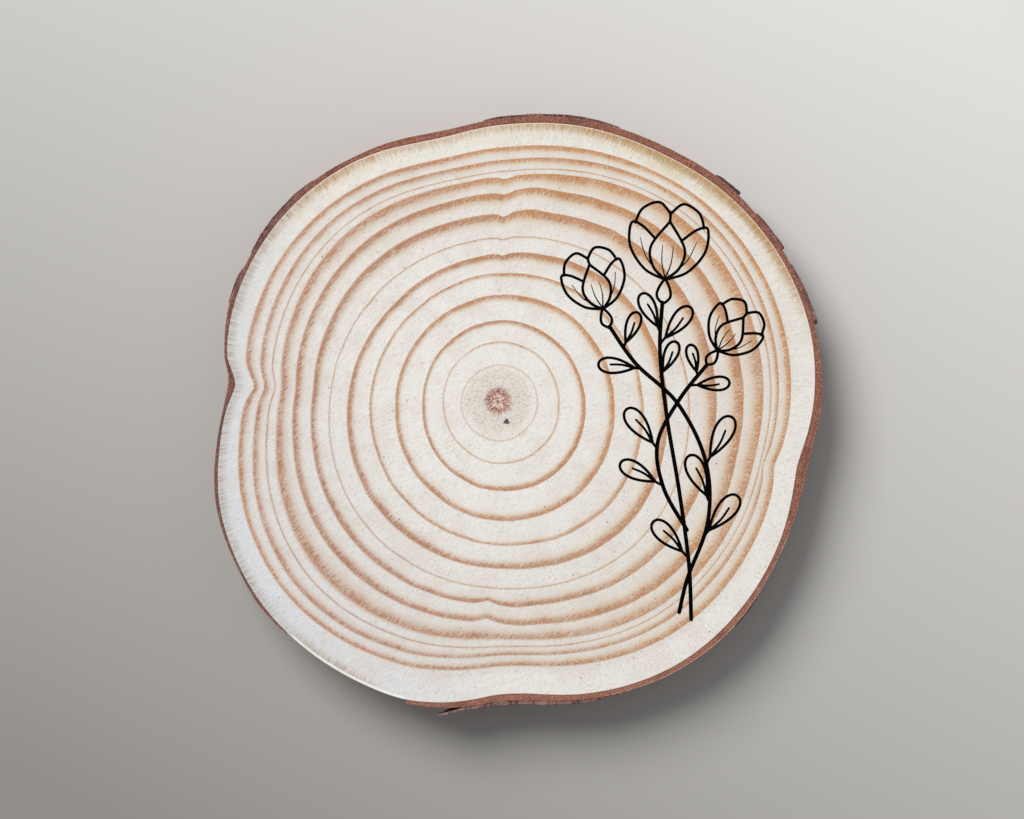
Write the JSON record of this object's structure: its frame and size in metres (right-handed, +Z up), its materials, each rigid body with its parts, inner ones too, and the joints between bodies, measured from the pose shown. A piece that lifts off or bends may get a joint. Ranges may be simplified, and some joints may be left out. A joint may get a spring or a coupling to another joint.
{
  "type": "engraved wood slice",
  "caption": "Round natural-edge pine slice with bark on, its top face laser-engraved with a flower sprig; a flat decorative blank, sign or coaster.",
  "frame": {"origin": "on the pith's axis, at the underside face the slice lies on", "axes": "+Z up through the engraved face, +Y towards the top of the drawing, +X to the drawing's right"},
  "size_m": [0.1015, 0.1006, 0.01],
  "materials": {
    "pine_wood": "raw sawn end grain, matt",
    "pith": "raw soft pith, matt",
    "inner_bark": "raw granular bark, matt",
    "outer_bark": "raw flaky bark, matt",
    "charred_wood": "charred, matt black"
  },
  "bodies": {
    "root": {"wood_slice": "pine_wood", "pith_core": "pith", "bark_band": "inner_bark", "bark_scale_top": "outer_bark", "bark_scale_top_right": "outer_bark", "bark_scale_upper_right": "outer_bark", "bark_scale_right": "outer_bark", "bark_scale_lower_right": "outer_bark", "bark_scale_bottom": "outer_bark", "bark_scale_left_upper": "outer_bark", "bark_scale_left": "outer_bark", "engraved_stems": "charred_wood", "engraved_bloom_top": "charred_wood", "engraved_bloom_left": "charred_wood", "engraved_bloom_right": "charred_wood", "engraved_leaf_01": "charred_wood", "engraved_leaf_02": "charred_wood", "engraved_leaf_03": "charred_wood", "engraved_leaf_04": "charred_wood", "engraved_leaf_05": "charred_wood", "engraved_leaf_06": "charred_wood", "engraved_leaf_07": "charred_wood", "engraved_leaf_08": "charred_wood", "engraved_leaf_09": "charred_wood", "engraved_leaf_10": "charred_wood", "engraved_leaf_11": "charred_wood", "engraved_leaf_12": "charred_wood", "engraved_leaf_13": "charred_wood"}
  },
  "joints": []
}
